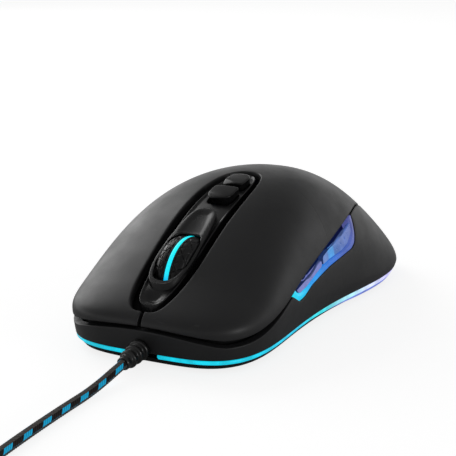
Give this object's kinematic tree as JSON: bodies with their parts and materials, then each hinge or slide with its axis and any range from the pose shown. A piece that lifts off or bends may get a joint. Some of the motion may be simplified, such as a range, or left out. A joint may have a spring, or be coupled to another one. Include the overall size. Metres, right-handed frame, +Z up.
{
  "type": "computer mouse",
  "caption": "Wired right-handed computer mouse with two main buttons, clickable lit scroll wheel, top and thumb buttons, lit rim and a cut length of braided cable.",
  "frame": {"origin": "on the desk plane under the middle of the body's footprint, where the underside of the feet touches it", "axes": "+Z up, -Y towards the nose and the cable, +X towards the thumb side"},
  "size_m": [0.0634, 0.1921, 0.039],
  "materials": {
    "soft_touch_black": "soft-touch matte",
    "satin_black": "satin",
    "base_black": "fine texture",
    "rim_diffuser": "lit diffuser",
    "wheel_diffuser": "lit diffuser",
    "panel_diffuser": "lit translucent",
    "panel_key": "translucent, lit from behind",
    "tyre_rubber": "treaded",
    "hub_plastic": "satin",
    "boot_rubber": "ribbed",
    "braid": "braided with blue tracer",
    "ptfe": "smooth, low friction",
    "steel": "zinc plated",
    "board": "solder mask",
    "switch_case": "moulded",
    "plunger": "moulded",
    "chip": "moulded",
    "clear_lens": "clear",
    "led": "clear resin",
    "connector": "moulded",
    "wire_jacket": "insulation",
    "encoder_case": "moulded"
  },
  "bodies": {
    "root": {"bottom_case": "base_black", "side_frame": "soft_touch_black", "light_ring": "rim_diffuser", "top_cover": "soft_touch_black", "center_trim": "satin_black", "encoder_body": "encoder_case", "wheel_bracket": "hub_plastic", "side_bezel": "panel_diffuser", "main_pcb": "board", "side_pcb": "board", "dpi_pcb": "board", "left_switch": "switch_case", "right_switch": "switch_case", "middle_switch": "switch_case", "side_switches": "switch_case", "dpi_switches": "switch_case", "sensor_chip": "chip", "sensor_lens": "clear_lens", "controller_chip": "chip", "rim_leds": "led", "wheel_led": "led", "side_leds": "led", "cable_connector": "connector", "cable_wires": "wire_jacket", "cable": "braid", "cable_boot": "boot_rubber", "front_foot": "ptfe", "rear_foot": "ptfe", "sensor_foot": "ptfe", "case_screws": "steel", "pcb_screws": "steel"},
    "left_button": {"left_button": "soft_touch_black"},
    "right_button": {"right_button": "soft_touch_black"},
    "left_plunger": {"left_plunger": "plunger"},
    "right_plunger": {"right_plunger": "plunger"},
    "wheel_saddle": {"axle_saddle": "hub_plastic"},
    "wheel": {"wheel_hub": "hub_plastic", "wheel_light_ring": "wheel_diffuser", "tyre_left": "tyre_rubber", "tyre_right": "tyre_rubber", "wheel_axle": "steel", "encoder_rotor": "plunger"},
    "middle_plunger": {"middle_plunger": "plunger"},
    "dpi_front": {"dpi_front_button": "satin_black", "dpi_front_plunger": "plunger"},
    "dpi_rear": {"dpi_rear_button": "satin_black", "dpi_rear_plunger": "plunger"},
    "side_front": {"side_front_button": "panel_key", "side_front_plunger": "plunger"},
    "side_rear": {"side_rear_button": "panel_key", "side_rear_plunger": "plunger"}
  },
  "joints": [
    {"name": "left_click", "type": "hinge", "parent": "root", "child": "left_button", "pos_m": [0, -0.004, 0.036], "axis": [1, 0, 0], "range_deg": [0, 0.4]},
    {"name": "right_click", "type": "hinge", "parent": "root", "child": "right_button", "pos_m": [0, -0.004, 0.036], "axis": [1, 0, 0], "range_deg": [0, 0.4]},
    {"name": "left_plunger_press", "type": "slide", "parent": "root", "child": "left_plunger", "axis": [0, 0, -1], "range_m": [0, 0.0003]},
    {"name": "right_plunger_press", "type": "slide", "parent": "root", "child": "right_plunger", "axis": [0, 0, -1], "range_m": [0, 0.0003]},
    {"name": "wheel_press", "type": "hinge", "parent": "root", "child": "wheel_saddle", "pos_m": [-0.0122, -0.0381, 0.0156], "axis": [0, 1, 0], "range_deg": [0, 0.8]},
    {"name": "wheel_spin", "type": "hinge", "parent": "wheel_saddle", "child": "wheel", "pos_m": [0, -0.0381, 0.0156], "axis": [1, 0, 0], "continuous": true},
    {"name": "middle_plunger_press", "type": "slide", "parent": "root", "child": "middle_plunger", "axis": [0, 0, -1], "range_m": [0, 0.00032]},
    {"name": "dpi_front_press", "type": "slide", "parent": "root", "child": "dpi_front", "axis": [0, 0, -1], "range_m": [0, 0.0004]},
    {"name": "dpi_rear_press", "type": "slide", "parent": "root", "child": "dpi_rear", "axis": [0, 0, -1], "range_m": [0, 0.0004]},
    {"name": "side_front_press", "type": "slide", "parent": "root", "child": "side_front", "axis": [-1, 0, 0], "range_m": [0, 0.0005]},
    {"name": "side_rear_press", "type": "slide", "parent": "root", "child": "side_rear", "axis": [-1, 0, 0], "range_m": [0, 0.0005]}
  ],
  "couplings": [
    {"joint": "left_plunger_press", "follows": "left_click", "m_per_rad": 0.0405},
    {"joint": "right_plunger_press", "follows": "right_click", "m_per_rad": 0.0405},
    {"joint": "middle_plunger_press", "follows": "wheel_press", "m_per_rad": 0.0222}
  ]
}
